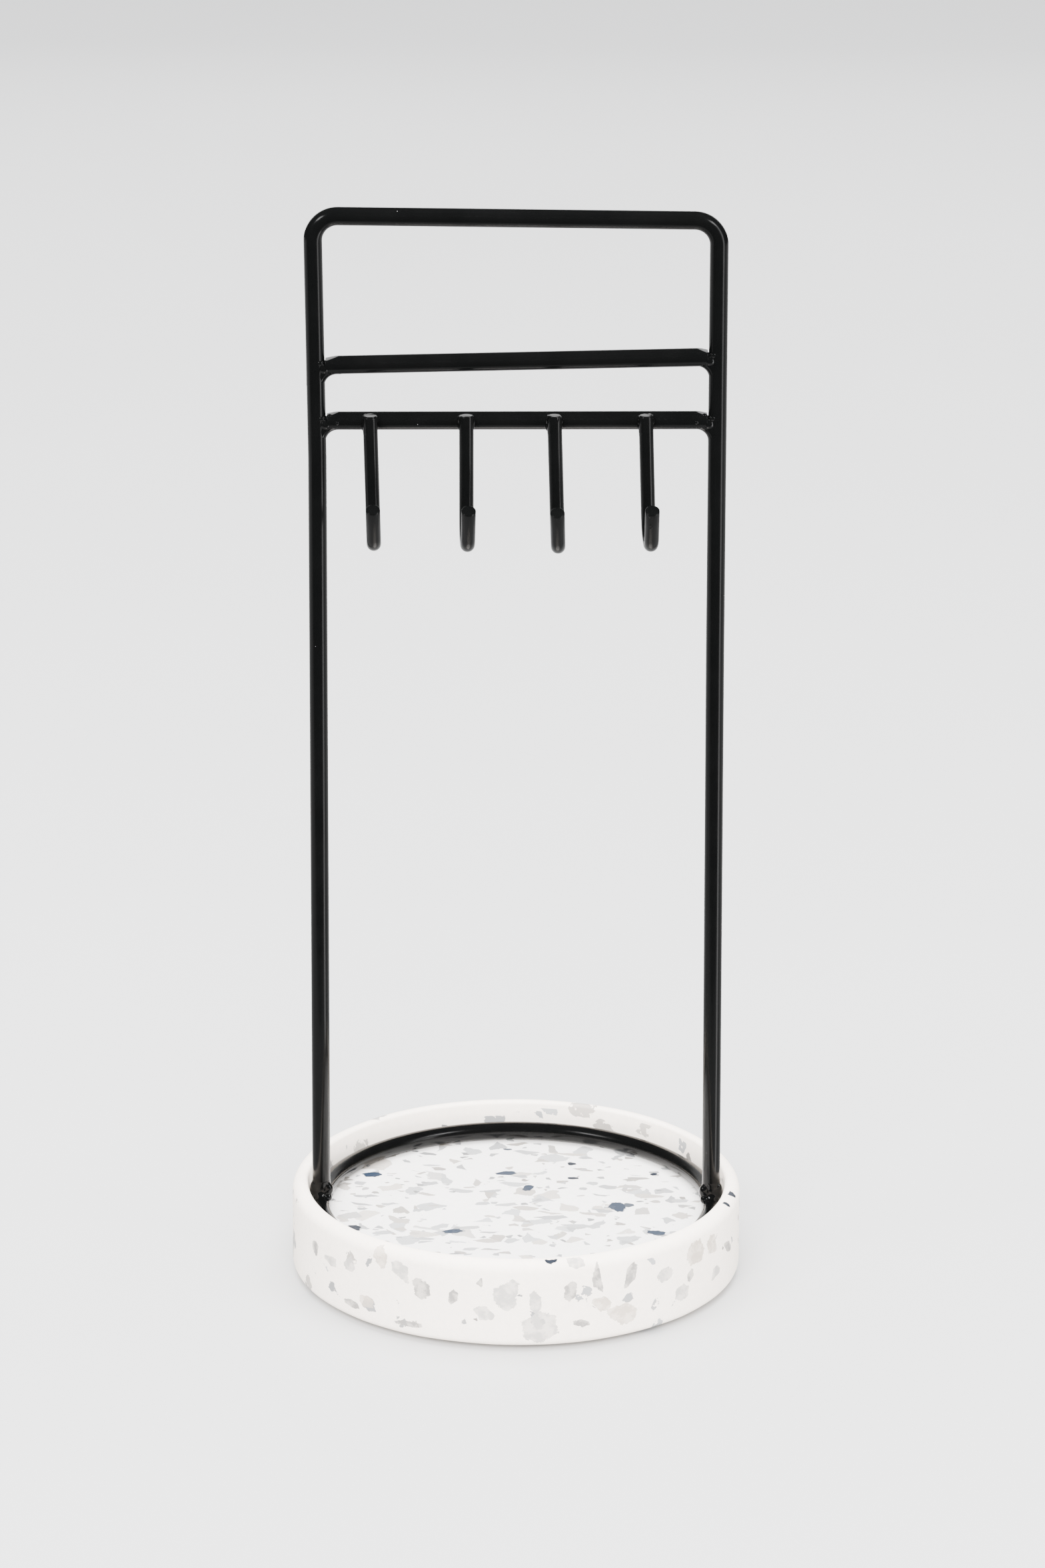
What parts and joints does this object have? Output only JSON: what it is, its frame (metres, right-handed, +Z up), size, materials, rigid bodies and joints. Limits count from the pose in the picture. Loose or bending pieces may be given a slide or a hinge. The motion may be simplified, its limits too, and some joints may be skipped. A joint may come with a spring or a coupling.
{
  "type": "hook stand",
  "caption": "Small hook stand: a black wire frame with forward-facing J-hooks on a crossbar, welded to a ring that stands in a round terrazzo tray.",
  "frame": {"origin": "on the tray's axis, at the height of the surface the stand rests on", "axes": "+Z up; +X along the crossbars; the hooks face -Y"},
  "size_m": [0.15, 0.15, 0.3656],
  "materials": {
    "terrazzo": "cast white terrazzo with pale grey, cream and slate-blue chips, honed and sealed to a soft sheen",
    "black_steel": "gloss black powder coat on steel rod",
    "coated_weld": "weld beads under the same gloss black coat",
    "silicone": "translucent grey silicone, matt"
  },
  "bodies": {
    "tray": {"terrazzo_tray": "terrazzo", "front_left_foot_pad": "silicone", "front_right_foot_pad": "silicone", "back_right_foot_pad": "silicone", "back_left_foot_pad": "silicone"},
    "frame": {"base_ring": "black_steel", "upright_frame": "black_steel", "upper_crossbar": "black_steel", "lower_crossbar": "black_steel", "hook_1": "black_steel", "hook_2": "black_steel", "hook_3": "black_steel", "hook_4": "black_steel", "left_foot_weld": "coated_weld", "right_foot_weld": "coated_weld", "upper_weld_left": "coated_weld", "upper_weld_right": "coated_weld", "lower_weld_left": "coated_weld", "lower_weld_right": "coated_weld", "hook_1_weld": "coated_weld", "hook_2_weld": "coated_weld", "hook_3_weld": "coated_weld", "hook_4_weld": "coated_weld"}
  },
  "joints": [
    {"name": "frame_lift", "type": "slide", "parent": "tray", "child": "frame", "axis": [0, 0, 1], "range_m": [0, 0.04]}
  ]
}
